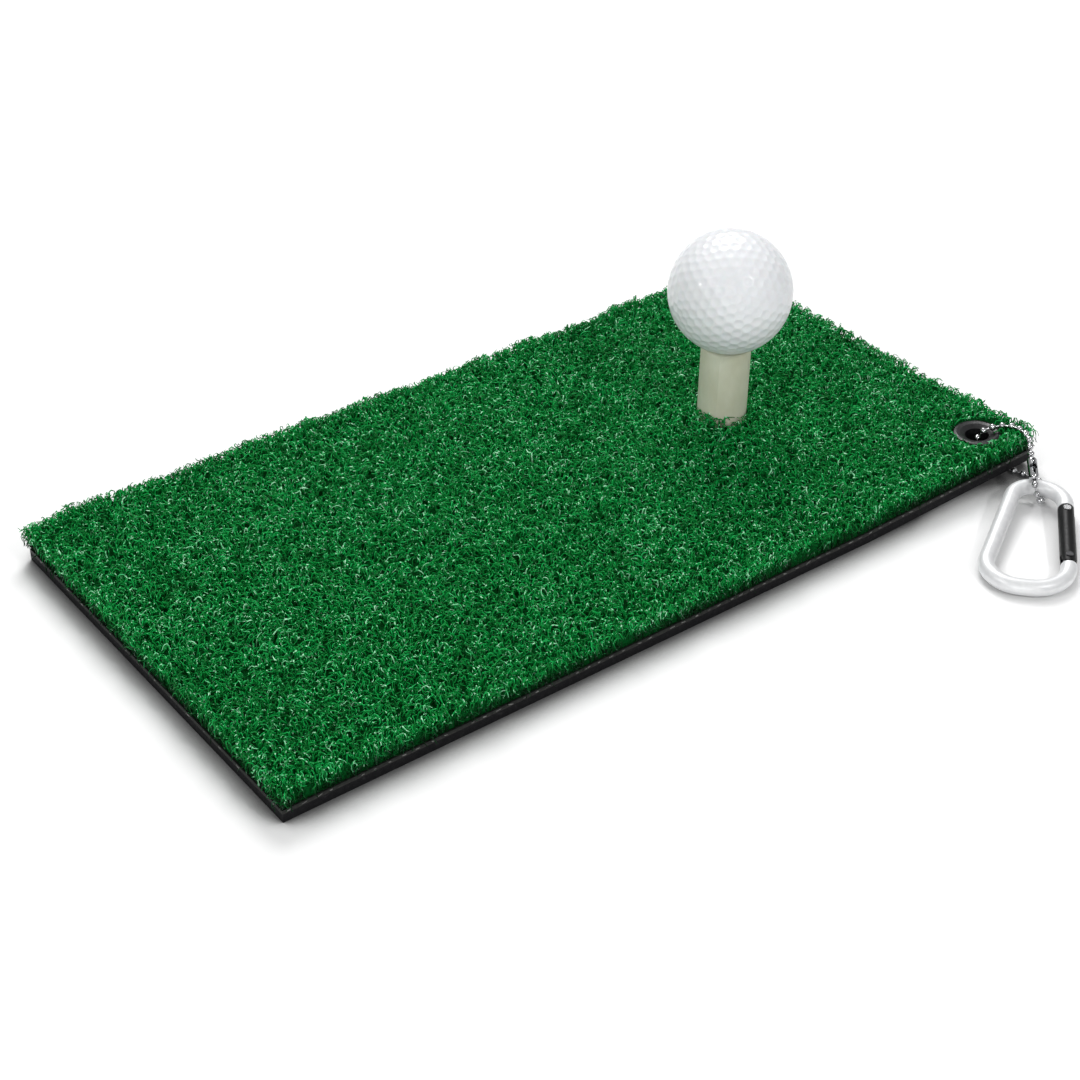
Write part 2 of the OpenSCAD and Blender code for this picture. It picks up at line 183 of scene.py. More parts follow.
def add_bmesh(name, bm):
    """A new smooth mesh object from a bmesh, which is then freed."""
    mesh = bpy.data.meshes.new(name)
    bm.to_mesh(mesh)
    bm.free()
    mesh.shade_smooth()
    return add_object(name, mesh)


def dress(obj, mat):
    """Gives an object one material."""
    obj.data.materials.clear()
    obj.data.materials.append(mat)
    return obj


def lathe(name, profile, centre, steps, shape):
    """A closed ring of [radius, height] points turned about a vertical line, plus shape's rise."""
    n = len(profile)
    verts = []
    for a in np.linspace(0, TAU, steps, endpoint=False):
        for r, z in profile:
            out = r + shape(a, r, z)
            verts.append((centre[0] + out * math.cos(a), centre[1] + out * math.sin(a), z))
    faces = []
    for i in range(steps):
        here, ahead = i * n, (i + 1) % steps * n
        for j in range(n):
            k = (j + 1) % n
            faces.append((here + j, ahead + j, ahead + k, here + k))
    return add_mesh(name, verts, faces)


def arc(centre, radius, start, end, steps):
    """Points [r, z] on an arc, angles in degrees."""
    angles = [math.radians(a) for a in np.linspace(start, end, steps)]
    return [(centre[0] + radius * math.cos(a), centre[1] + radius * math.sin(a)) for a in angles]


# ---- materials ----


class Look:
    """Node tree of one procedural material with a Principled shader."""

    def __init__(self, name, **sockets):
        self.mat = bpy.data.materials.new(name)
        self.mat.use_nodes = True
        self.tree = self.mat.node_tree
        self.shader = self.tree.nodes["Principled BSDF"]
        self.place = self.tree.nodes.new("ShaderNodeTexCoord").outputs["Object"]
        for key, value in sockets.items():
            self.shader.inputs[key.replace("_", " ")].default_value = value

    def feed(self, socket, value):
        """Links another node's socket to this one, or sets a plain value on it."""
        if isinstance(value, bpy.types.NodeSocket):
            self.tree.links.new(value, socket)
        else:
            socket.default_value = value

    def node(self, kind, **inputs):
        made = self.tree.nodes.new(kind)
        for key, value in inputs.items():
            self.feed(made.inputs[key.replace("_", " ")], value)
        return made

    def stretched(self, scale):
        """Object coordinates, scaled along each axis."""
        mapped = self.node("ShaderNodeMapping", Vector=self.place)
        mapped.inputs["Scale"].default_value = scale
        return mapped.outputs["Vector"]

    def noise(self, period, detail=3.0, stretch=None):
        """Noise from 0 to 1 whose features are about one period across, in metres."""
        where = self.stretched(stretch) if stretch else self.place
        made = self.node("ShaderNodeTexNoise", Vector=where, Scale=1 / period, Detail=detail,
                         Roughness=0.5)
        return made.outputs["Fac"]

    def attribute(self, name):
        made = self.tree.nodes.new("ShaderNodeAttribute")
        made.attribute_name = name
        return made.outputs["Fac"]

    def ramp(self, value, stops):
        """Colours from [position, colour] stops."""
        made = self.tree.nodes.new("ShaderNodeValToRGB")
        self.tree.links.new(value, made.inputs["Fac"])
        marks = made.color_ramp.elements
        while len(marks) < len(stops):
            marks.new(0.5)
        for mark, (position, colour) in zip(marks, stops):
            mark.position = position
            mark.color = (*colour, 1)
        return made.outputs["Color"]

    def spread(self, value, low, high, from_low=0.3, from_high=0.7):
        """A value stretched from one span to another."""
        made = self.node("ShaderNodeMapRange", Value=value, From_Min=from_low, From_Max=from_high,
                         To_Min=low, To_Max=high)
        return made.outputs["Result"]

    def maths(self, operation, a, b):
        made = self.tree.nodes.new("ShaderNodeMath")
        made.operation = operation
        self.feed(made.inputs[0], a)
        self.feed(made.inputs[1], b)
        return made.outputs[0]

    def times(self, a, b):
        return self.maths("MULTIPLY", a, b)

    def plus(self, a, b):
        return self.maths("ADD", a, b)

    def multiplied(self, a, b, share=1.0):
        """Product of two colours, or a share of the way from the first one to it."""
        made = self.tree.nodes.new("ShaderNodeMix")
        made.data_type = "RGBA"
        made.blend_type = "MULTIPLY"
        self.feed(made.inputs["Factor"], share)
        self.feed(made.inputs["A"], a)
        self.feed(made.inputs["B"], b)
        return made.outputs["Result"]

    def set(self, socket, value):
        """Links a node's output to one of the shader's sockets."""
        self.tree.links.new(value, self.shader.inputs[socket])

    def bump(self, height, depth):
        """Surface relief of a depth in metres."""
        made = self.node("ShaderNodeBump", Height=height, Strength=1.0, Distance=depth)
        self.set("Normal", made.outputs["Normal"])


def grey(value):
    return (value, value, value)


def turf_look():
    """Green yarn: each fibre has its own tone, painted shade towards its root, painted pale highlights
    and a soft sheen.
    """
    look = Look("turf", Specular_IOR_Level=0.12)
    patches = look.spread(look.noise(14 * MM), -0.10, 0.10)
    tone = look.plus(look.attribute("fibre_tone"), patches)
    # Painted highlights: noise lifts short stretches of the fibres to the pale top stops of the ramp;
    # the few pale fibres reach the same stops
    painted_glints = look.spread(look.noise(1.1 * MM, 2), 0, 0.75, 0.57, 0.68)
    tone = look.plus(tone, painted_glints)
    colour = look.ramp(tone, [
        (0.0, (0.001, 0.095, 0.014)), (0.35, (0.002, 0.265, 0.042)), (0.7, (0.006, 0.42, 0.088)),
        (0.85, (0.09, 0.62, 0.24)), (1.0, (0.50, 0.94, 0.62))])
    # Painted shade: each fibre gets darker towards the backing, as it would in the shade of the pile
    shade = look.ramp(look.attribute("fibre_height"), [(0.26, grey(0.08)), (0.80, grey(1))])
    look.set("Base Color", look.multiplied(colour, shade))
    look.set("Roughness", look.spread(look.attribute("fibre_tone"), 0.50, 0.30, 0, 1))
    return look.mat


def thatch_and_shade_look():
    """The pile's dark green depths: the thatch's own green, made near black as painted shade of the
    pile under the fibre tips.
    """
    look = Look("thatch", Specular_IOR_Level=0.03)
    look.set("Base Color", look.ramp(look.noise(0.8 * MM, 4), [
        (0.3, (0.0004, 0.022, 0.003)), (0.7, (0.0015, 0.090, 0.016))]))
    look.set("Roughness", look.spread(look.noise(0.5 * MM), 0.7, 0.95))
    look.bump(look.noise(0.7 * MM, 4), 0.5 * MM)
    return look.mat


def foam_look():
    """Black cellular foam, with a few paler specks."""
    look = Look("foam", Specular_IOR_Level=0.2)
    cells = look.noise(0.35 * MM, 2)
    look.set("Base Color", look.ramp(look.noise(1.4 * MM, 5), [
        (0.3, (0.004, 0.004, 0.005)), (0.62, (0.008, 0.008, 0.009)), (0.72, (0.018, 0.018, 0.019))]))
    look.set("Roughness", look.spread(cells, 0.65, 0.9))
    look.bump(cells, 0.10 * MM)
    return look.mat


def latex_look():
    """Dark latex, spread on by hand."""
    look = Look("latex", Specular_IOR_Level=0.4)
    look.set("Base Color", look.ramp(look.noise(1.1 * MM, 4), [
        (0.35, (0.010, 0.010, 0.009)), (0.7, (0.030, 0.030, 0.027))]))
    look.set("Roughness", look.spread(look.noise(0.6 * MM), 0.55, 0.8))
    look.bump(look.noise(0.6 * MM, 3), 0.12 * MM)
    return look.mat


def backing_look():
    """Woven slit film, as two crossing sets of ribs."""
    look = Look("backing", Specular_IOR_Level=0.4)
    ribs = []
    for across in ((1, 0, 0), (0, 1, 0)):
        wave = look.node("ShaderNodeTexWave", Vector=look.stretched(across), Scale=1 / (7 * MM),
                         Distortion=0.6)
        ribs.append(wave.outputs["Fac"])
    weave = look.plus(look.times(ribs[0], 0.5), look.times(ribs[1], 0.5))
    look.set("Base Color", look.ramp(weave, [
        (0.2, (0.006, 0.007, 0.006)), (0.8, (0.018, 0.022, 0.018))]))
    look.set("Roughness", look.spread(weave, 0.5, 0.75))
    look.bump(weave, 0.15 * MM)
    return look.mat


def yarn_look():
    """Dull grey ends of the yarn that holds the tufts."""
    look = Look("yarn_ends", Specular_IOR_Level=0.3)
    look.set("Base Color", look.ramp(look.noise(2.3 * MM, 3), [
        (0.3, (0.06, 0.06, 0.06)), (0.7, (0.24, 0.24, 0.23))]))
    look.set("Roughness", look.spread(look.noise(0.4 * MM), 0.6, 0.85))
    look.bump(look.noise(0.25 * MM, 2), 0.06 * MM)
    return look.mat


def tee_look():
    """Natural rubber, slightly translucent, with a bloom on it."""
    look = Look("tee_rubber", Subsurface_Weight=0.25, Subsurface_Scale=1.5 * MM, Specular_IOR_Level=0.4)
    look.shader.inputs["Subsurface Radius"].default_value = (1.0, 0.9, 0.6)
    look.set("Base Color", look.ramp(look.noise(6 * MM, 5, (1, 1, 0.5)), [
        (0.3, (0.56, 0.56, 0.43)), (0.7, (0.66, 0.67, 0.54))]))
    look.set("Roughness", look.spread(look.noise(2 * MM, 4), 0.42, 0.62))
    look.bump(look.noise(0.9 * MM, 4), 0.05 * MM)
    return look.mat


def ball_look():
    """White cover under a thin clear coat."""
    look = Look("ball_cover", Coat_Weight=0.28, Coat_Roughness=0.03, Specular_IOR_Level=0.35,
                Subsurface_Weight=0.05, Subsurface_Scale=1 * MM)
    look.set("Base Color", look.ramp(look.noise(9 * MM, 4), [
        (0.3, (0.765, 0.78, 0.80)), (0.7, (0.805, 0.82, 0.84))]))
    look.set("Roughness", look.spread(look.noise(1.5 * MM, 4), 0.28, 0.40))
    look.bump(look.noise(0.5 * MM, 3), 0.004 * MM)
    return look.mat


def core_look():
    """Yellowish rubber of the ball's inside."""
    look = Look("ball_core", Specular_IOR_Level=0.3)
    look.set("Base Color", look.ramp(look.noise(2 * MM, 4), [
        (0.3, (0.55, 0.45, 0.20)), (0.7, (0.65, 0.55, 0.28))]))
    look.set("Roughness", look.spread(look.noise(1 * MM), 0.6, 0.8))
    look.bump(look.noise(0.8 * MM, 3), 0.05 * MM)
    return look.mat


def metal_look(name, colours, roughness, period, relief=0.0, **sockets):
    """Metal or its paint, mottled between two colours and between two roughnesses."""
    look = Look(name, **sockets)
    dark, light = colours
    look.set("Base Color", look.ramp(look.noise(period * 4, 3), [(0.3, dark), (0.7, light)]))
    grain = look.noise(period, 4)
    look.set("Roughness", look.spread(grain, *roughness))
    if relief:
        look.bump(grain, relief)
    return look.mat


def eyelet_look():
    """Black paint, a little scuffed."""
    look = Look("eyelet", Specular_IOR_Level=0.35)
    look.set("Base Color", look.ramp(look.noise(1.5 * MM, 5), [
        (0.3, (0.004, 0.004, 0.005)), (0.75, (0.013, 0.013, 0.014))]))
    look.set("Roughness", look.spread(look.noise(0.8 * MM, 4), 0.30, 0.5))
    look.bump(look.noise(0.6 * MM, 3), 0.02 * MM)
    return look.mat


def floor_look():
    """Pale paper, with a deep soft shadow painted into its colour where something stands close to it.
    """
    look = Look("floor", Specular_IOR_Level=0.1, Roughness=0.9)
    pale = look.ramp(look.noise(0.4), [(0.3, grey(0.93)), (0.7, grey(0.95))])
    near = look.node("ShaderNodeAmbientOcclusion", Distance=20 * MM)
    near.samples = 16
    shadow = look.ramp(near.outputs["AO"], [(0.45, grey(0.12)), (0.63, grey(0.5)), (0.78, grey(1))])
    # The thin round bar of the carabiner gets a lighter painted shadow on the floor than the mat's side
    # does
    lo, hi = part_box("carabiner_frame")
    apart = look.node("ShaderNodeVectorMath")
    apart.operation = "DISTANCE"
    look.feed(apart.inputs[0], look.place)
    look.feed(apart.inputs[1], ((lo.x + hi.x) / 2, (lo.y + hi.y) / 2, 0))
    weight = look.spread(apart.outputs["Value"], 0.22, 1.0, 27 * MM, 39 * MM)
    look.set("Base Color", look.multiplied(pale, shadow, weight))
    return look.mat


# ---- turf ----

FIBRE_WIDTH = 0.58 * MM
FIBRE_THICKNESS = 0.30 * MM
# Rings of vertices along a fibre, and sides of its section
RINGS = 8
SIDES = 3
# The fibres are shared out over strips, each a piece of its own
STRIPS = 10
TUFT_SPACING = 2.75 * MM
FIBRES_PER_TUFT = 6
# Fibres right along the edges, one to each step
RIM_STEP = 0.25 * MM
FAR_RIM_STEP = 0.16 * MM
# Fibres within this distance of an edge lean out over it, and go at most the overhang past it
EDGE_BAND = 4.5 * MM
FAN_OUT = 2.0 * MM
OVERHANG = 2.4 * MM
# How near fibres come to the tee and the eyelet, the ball at its lowest, and the chain
FIBRE_GAP = 0.3 * MM
BALL_GAP = 0.45 * MM
CHAIN_GAP = 0.42 * MM
# Height over the eyelet's flange of the fibres that lie on it
ON_FLANGE = 0.35 * MM


def fade(distance, band):
    """1 at no distance, and down to 0 at the end of the band."""
    return np.clip(1 - distance / band, 0, 1)


def rim_places():
    """Roots of more fibres right along each edge."""
    length, width = SHEET_HI.x - SHEET_LO.x, SHEET_HI.y - SHEET_LO.y
    around = 2 * (length + width)
    count = int(around / RIM_STEP)
    t = RANDOM.uniform(0, around, count)
    inset = RANDOM.uniform(0.4, 3.2, count) * MM
    front = np.c_[SHEET_LO.x + t, SHEET_LO.y + inset]
    far = np.c_[SHEET_LO.x + t - length, SHEET_HI.y - inset]
    left = np.c_[SHEET_LO.x + inset, SHEET_LO.y + t - 2 * length]
    right = np.c_[SHEET_HI.x - inset, SHEET_LO.y + t - 2 * length - width]
    side = np.searchsorted([length, 2 * length, 2 * length + width], t, side="right")
    rim = np.choose(side[:, None], [front, far, left, right])
    # The far edge stands against the pale background, so it gets more
    far_count = int(length / FAR_RIM_STEP)
    far_rim = np.c_[RANDOM.uniform(SHEET_LO.x, SHEET_HI.x, far_count),
                    SHEET_HI.y - RANDOM.uniform(0.4, 2.6, far_count) * MM]
    return rim, far_rim


def tuft_places():
    """Roots of the fibres, in tufts on a jittered grid, clear of the tee and the eyelet."""
    margin, root_inset = 0.7 * MM, 0.45 * MM
    jitter, tuft_size = 0.35, 0.45 * MM
    xs = np.arange(SHEET_LO.x + margin, SHEET_HI.x - margin + TUFT_SPACING / 2, TUFT_SPACING)
    ys = np.arange(SHEET_LO.y + margin, SHEET_HI.y - margin + TUFT_SPACING / 2, TUFT_SPACING)
    grid = np.array([(x + (i % 2) * TUFT_SPACING / 2, y) for i, y in enumerate(ys) for x in xs])
    grid += RANDOM.uniform(-jitter, jitter, grid.shape) * TUFT_SPACING
    roots = np.repeat(grid, FIBRES_PER_TUFT, axis=0)
    roots += RANDOM.normal(0, tuft_size, roots.shape)
    roots = np.vstack([roots, *rim_places()])
    roots = np.clip(roots, np.array(SHEET_LO[:2]) + root_inset, np.array(SHEET_HI[:2]) - root_inset)
    clear_tee = np.hypot(*(roots - TEE_CENTRE).T) > TEE_RADIUS + 0.5 * MM
    clear_eyelet = np.hypot(*(roots - EYELET_CENTRE).T) > FLANGE_RADIUS + 0.6 * MM
    return roots[clear_tee & clear_eyelet]


def outward(roots):
    """How far towards the nearest edges each root leans, as a vector with length 0 to about 1."""
    near_lo = fade(roots - np.array(SHEET_LO[:2]), EDGE_BAND)
    near_hi = fade(np.array(SHEET_HI[:2]) - roots, EDGE_BAND)
    return near_hi - near_lo


def swirl(roots):
    """A slow field of lean directions, so that patches of the pile lie different ways."""
    waves, period, height = 7, 45 * MM, 0.3
    field = np.zeros_like(roots)
    for _ in range(waves):
        wave = RANDOM.normal(0, 1, 2) * TAU / period
        shift = RANDOM.uniform(0, TAU, 2)
        field += np.sin((roots @ wave)[:, None] + shift) * height
    return field


def ripple(roots, periods=(21, 34, 55)):
    """Slow rise and fall of the pile between -0.7 and 0.7, with periods in millimetres."""
    height, most = 0.35, 0.7
    total = np.zeros(len(roots))
    for period in periods:
        heading = RANDOM.uniform(0, TAU)
        wave = np.array([math.cos(heading), math.sin(heading)]) * TAU / (period * MM)
        total += height * np.sin(roots @ wave + RANDOM.uniform(0, TAU))
    return np.clip(total, -most, most)


def held_in(x, lo, hi):
    """Coordinates that go past the mat's edges, drawn in to at most OVERHANG beyond them."""
    inside = np.clip(x, lo, hi)
    return inside + OVERHANG * np.tanh((x - inside) / OVERHANG)


def crown_heights(roots, edge):
    """How high each fibre climbs, in the flat mat."""
    n = len(roots)
    crown = PILE_TOP + (0.5 - np.abs(RANDOM.normal(0, 0.8, n))) * MM - 0.5 * MM * edge ** 2
    # Part of the edge fibres end lower down, as curls on the pile's cut side
    low = RANDOM.random(n) < 0.7 * edge
    crown -= low * RANDOM.uniform(0.5, 5.5, n) * MM
    # The far edge stands higher, in a ragged line
    by_far_edge = fade(SHEET_HI.y - roots[:, 1], 2.2 * EDGE_BAND)
    ragged = 1.5 + 0.9 * ripple(roots) + 0.9 * ripple(roots, (8, 12, 17))
    crown += by_far_edge * ragged * MM + ripple(roots) * MM
    # Round the eyelet the pile is pressed down, but not on its corner side
    away = roots - EYELET_CENTRE
    by_eyelet = np.hypot(*away.T)
    pressed = np.clip(1.35 - 0.35 * (by_eyelet - FLANGE_RADIUS) / (2 * MM), 0, 1)
    pressed *= 1 - np.clip(away @ DIAGONAL / by_eyelet, 0, 1)
    crown -= pressed * np.maximum(crown - FLANGE_TOP - 0.9 * MM, 0)
    # Round the tee it is pushed up
    by_tee = np.hypot(*(roots - TEE_CENTRE).T) - TEE_RADIUS
    crown += fade(by_tee, 3.5 * MM) * 1.2 * MM + fade(by_tee, 15 * MM) * 0.8 * MM
    return crown


def leans(roots, out, edge):
    """How far and which way each fibre lies over, with the edge fibres fanned out and tousled."""
    n = len(roots)
    heading = RANDOM.uniform(0, TAU, n)
    reach = RANDOM.uniform(1.6, 4.2, (n, 1)) * MM
    lean = np.c_[np.cos(heading), np.sin(heading)] * reach + swirl(roots) * 0.8 * MM
    tousle = np.clip(RANDOM.normal(0, 2.0, (n, 1)), -3.5, 3.5)
    along_edge = np.c_[-out[:, 1], out[:, 0]] * tousle * MM
    fan = out * FAN_OUT * RANDOM.uniform(0.4, 1.2, (n, 1))
    return lean * (1 - 0.6 * edge)[:, None] + along_edge + fan


def fibre_rings(roots):
    """Centre lines of all fibres in the flat mat, as [fibre, ring, xyz].

    Each fibre climbs, then lies over in a crimped run.
    """
    n = len(roots)
    s = np.linspace(0, 1, RINGS)[None, :]
    out = outward(roots)
    edge = np.clip(np.linalg.norm(out, axis=1), 0, 1)
    start = BACKING_TOP + (1 - edge) * 3.4 * MM
    crown = crown_heights(roots, edge)
    lean = leans(roots, out, edge)
    side = np.c_[-lean[:, 1], lean[:, 0]] / np.linalg.norm(lean, axis=1, keepdims=True)
    # The fibre climbs in its first part, then runs on level or droops
    climb = np.clip(s / RANDOM.uniform(0.45, 0.8, (n, 1)), 0, 1)
    climb = np.sin(climb * math.pi / 2)
    to_corner = np.hypot(*(roots - np.array([SHEET_HI.x, SHEET_LO.y])).T)
    at_corner = np.clip(1.3 - to_corner / (22 * MM), 0, 1)
    hang = edge * (2.2 + 2.6 * at_corner)
    droop = RANDOM.uniform(-0.3, 1.6, (n, 1)) + RANDOM.uniform(0, 1, (n, 1)) * hang[:, None]
    droop = droop * MM * np.clip((s - 0.5) / 0.5, 0, 1) ** 1.6
    crimp = (RANDOM.uniform(0.22, 0.55, (n, 1)) + 0.35 * edge[:, None]) * MM * np.minimum(s * 3, 1)
    turns = RANDOM.uniform(0.8, 1.6, (n, 1)) + 0.3 * edge[:, None]
    angle = RANDOM.uniform(0, TAU, (n, 1)) + TAU * turns * s
    bow = np.clip(RANDOM.normal(0, 0.9, (n, 1)), -1.8, 1.8) * MM * s ** 2
    along = s ** 1.6
    weave = crimp * np.cos(angle) + bow
    x = roots[:, :1] + lean[:, :1] * along + side[:, :1] * weave
    y = roots[:, 1:] + lean[:, 1:] * along + side[:, 1:] * weave
    z = start[:, None] + (crown - start)[:, None] * climb - droop + 0.8 * crimp * np.sin(angle)
    return np.stack([held_in(x, SHEET_LO.x, SHEET_HI.x), held_in(y, SHEET_LO.y, SHEET_HI.y), z], axis=2)


def bend_round_tee(rings):
    """Moves fibres out of the tee, and down from the ball's place with the tee pushed right down."""
    flat = rings[:, :, :2] - TEE_CENTRE
    far = np.linalg.norm(flat, axis=2, keepdims=True)
    room = TEE_RADIUS + FIBRE_GAP
    rings[:, :, :2] = TEE_CENTRE + flat * np.maximum(1, room / far)
    under_ball = BALL_RADIUS ** 2 - np.minimum(np.maximum(far, room)[:, :, 0], BALL_RADIUS) ** 2
    rings[:, :, 2] = np.minimum(rings[:, :, 2], BALL_LOWEST - np.sqrt(under_ball) - BALL_GAP)


def bend_round_eyelet(rings):
    """Moves fibres out of the eyelet, and on top of its flange where they lie over it."""
    most_over, deepest = 3.2 * MM, 1.6 * MM
    flat = rings[:, :, :2] - EYELET_CENTRE
    far = np.linalg.norm(flat, axis=2, keepdims=True)
    towards_corner = np.clip(flat @ DIAGONAL / far[:, :, 0], 0, 1)[:, :, None]
    room = FLANGE_RADIUS + FIBRE_GAP - most_over * towards_corner ** 2
    rings[:, :, :2] = EYELET_CENTRE + flat * np.maximum(1, room / far)
    z = rings[:, :, 2]
    over = (far[:, :, 0] < FLANGE_RADIUS + ON_FLANGE) & (z < FLANGE_TOP + ON_FLANGE)
    low = over & (z > FLANGE_TOP - deepest)
    rings[:, :, 2] = np.where(low, FLANGE_TOP + ON_FLANGE, z)


def clear_of_chain(rings):
    """Says which fibres of the curled mat stay clear of the chain."""
    chain = points_of("chain_top_beads", "chain_top_links", "chain_drop_beads", "chain_drop_links")
    tree = KDTree(len(chain))
    for i, p in enumerate(chain):
        tree.insert(p, i)
    tree.balance()
    lo, hi = chain.min(0) - 1 * MM, chain.max(0) + 1 * MM
    near = np.all((rings > lo) & (rings < hi), axis=2).any(axis=1)
    keep = np.ones(len(rings), bool)
    for i in np.nonzero(near)[0]:
        keep[i] = all(tree.find(p)[2] > CHAIN_GAP for p in rings[i])
    return keep


def fibre_mesh(name, rings, heights, tones):
    """All fibres of one strip as three-sided strands with closed ends."""
    floor_gap = 0.2 * MM
    n = len(rings)
    ahead = np.gradient(rings, axis=1)
    ahead /= np.linalg.norm(ahead, axis=2, keepdims=True)
    guide = RANDOM.normal(0, 1, (n, 1, 3))
    across = np.cross(ahead, guide)
    across /= np.linalg.norm(across, axis=2, keepdims=True)
    over = np.cross(ahead, across)
    s = np.linspace(0, 1, RINGS)[None, :, None]
    size = (1 - 0.45 * s ** 3) * RANDOM.uniform(0.8, 1.15, (n, 1, 1))
    verts = []
    for k in range(SIDES):
        a = TAU * k / SIDES
        verts.append(rings + size * (across * math.cos(a) * FIBRE_WIDTH / 2
                                     + over * math.sin(a) * FIBRE_THICKNESS / 2))
    verts = np.stack(verts, axis=2).reshape(-1, 3)
    verts[:, 2] = np.maximum(verts[:, 2], floor_gap)
    base = (np.arange(n) * RINGS * SIDES)[:, None]
    quads = []
    for r in range(RINGS - 1):
        for k in range(SIDES):
            a, b = r * SIDES + k, r * SIDES + (k + 1) % SIDES
            quads.append(base + np.array([a, b, b + SIDES, a + SIDES]))
    quads = np.stack(quads, axis=1).reshape(-1, 4)
    last = (RINGS - 1) * SIDES
    caps = np.vstack([base + np.array([2, 1, 0]), base + np.array([last, last + 1, last + 2])])
    mesh = bpy.data.meshes.new(name)
    mesh.vertices.add(len(verts))
    mesh.vertices.foreach_set("co", verts.ravel())
    loops = np.concatenate([quads.ravel(), caps.ravel()])
    mesh.loops.add(len(loops))
    mesh.loops.foreach_set("vertex_index", loops)
    starts = np.concatenate([np.arange(len(quads)) * 4, len(quads) * 4 + np.arange(len(caps)) * 3])
    mesh.polygons.add(len(starts))
    mesh.polygons.foreach_set("loop_start", starts)
    mesh.update(calc_edges=True)
    mesh.validate()
    mesh.shade_smooth()
    for key, value in (("fibre_tone", np.repeat(tones, RINGS * SIDES)),
                       ("fibre_height", np.repeat(np.clip(heights, 0, 1).ravel(), SIDES))):
        data = mesh.attributes.new(key, "FLOAT", "POINT").data
        data.foreach_set("value", value.astype(np.float32))
    return add_object(name, mesh)


def grow_turf(mat):
    """The pile's fibres, in strips across the mat, with a few pale ones among them."""
    pale_share, pale = 0.02, 0.9
    rings = fibre_rings(tuft_places())
    bend_round_tee(rings)
    bend_round_eyelet(rings)
    # Height of each ring in the pile, which drives the painted shade towards the fibres' roots
    heights = (rings[:, :, 2] - BACKING_TOP) / (PILE_TOP - BACKING_TOP)
    rings = curled(rings)
    keep = clear_of_chain(rings)
    rings, heights = rings[keep], heights[keep]
    tones = 0.85 * RANDOM.beta(2.0, 2.9, len(rings))
    tones[RANDOM.random(len(rings)) < pale_share] = pale
    edges = np.quantile(rings[:, 0, 0], np.linspace(0, 1, STRIPS + 1))
    which = np.clip(np.searchsorted(edges, rings[:, 0, 0], side="right") - 1, 0, STRIPS - 1)
    for k in range(STRIPS):
        mine = which == k
        obj = fibre_mesh(f"turf_fibres_{k + 1}", rings[mine], heights[mine], tones[mine])
        dress(obj, mat)
        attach(obj, "mat")
        if k == 0:
            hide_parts("turf_pile")


def thatch(mat):
    """The dense lower part of the pile, as a bumpy slab under the fibres, dressed dark with painted
    shade.
    """
    inset, cell = 0.6 * MM, 1.25 * MM
    depth, gap = 5.6 * MM, 0.5 * MM
    xs = np.arange(SHEET_LO.x + inset, SHEET_HI.x - inset + cell / 2, cell)
    ys = np.arange(SHEET_LO.y + inset, SHEET_HI.y - inset + cell / 2, cell)
    gx, gy = np.meshgrid(xs, ys, indexing="ij")
    p = np.stack([gx, gy, np.zeros_like(gx)], axis=2).reshape(-1, 3)
    height = BACKING_TOP + depth + np.clip(RANDOM.normal(0, 0.6, len(p)), -1.5, 1.5) * MM
    to_sides = np.minimum(p[:, 0] - xs[0], xs[-1] - p[:, 0])
    to_ends = np.minimum(p[:, 1] - ys[0], ys[-1] - p[:, 1])
    height -= fade(np.minimum(to_sides, to_ends), 3 * MM) * 0.7 * MM
    height += fade(ys[-1] - p[:, 1], 9 * MM) * 1.6 * MM
    p[:, 2] = height
    inside = np.zeros(len(p), bool)
    for centre, radius in ((TEE_CENTRE, TEE_RADIUS + gap), (EYELET_CENTRE, FLANGE_RADIUS + gap)):
        away = p[:, :2] - centre
        far = np.linalg.norm(away, axis=1)
        caught = far < radius
        p[caught, :2] = centre + away[caught] * (radius / np.maximum(far[caught], 0.01 * MM))[:, None]
        inside |= caught
    top = curled(p)
    low = p.copy()
    low[:, 2] = BACKING_TOP + 0.02 * MM
    low = curled(low)
    n, ny = len(p), len(ys)
    quads = [(i * ny + j, (i + 1) * ny + j, (i + 1) * ny + j + 1, i * ny + j + 1)
             for i in range(len(xs) - 1) for j in range(ny - 1)]
    quads = [q for q in quads if not all(inside[k] for k in q)]
    faces = quads + [tuple(k + n for k in reversed(q)) for q in quads]
    sides = {}
    for q in quads:
        for a, b in zip(q, q[1:] + q[:1]):
            sides[(a, b)] = True
    faces += [(b, a, a + n, b + n) for a, b in sides if (b, a) not in sides]
    obj = dress(add_mesh("turf_thatch", np.vstack([top, low]), faces), mat)
    bm = bmesh.new()
    bm.from_mesh(obj.data)
    bmesh.ops.delete(bm, geom=[v for v in bm.verts if not v.link_faces], context="VERTS")
    bm.to_mesh(obj.data)
    bm.free()
    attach(obj, "mat")


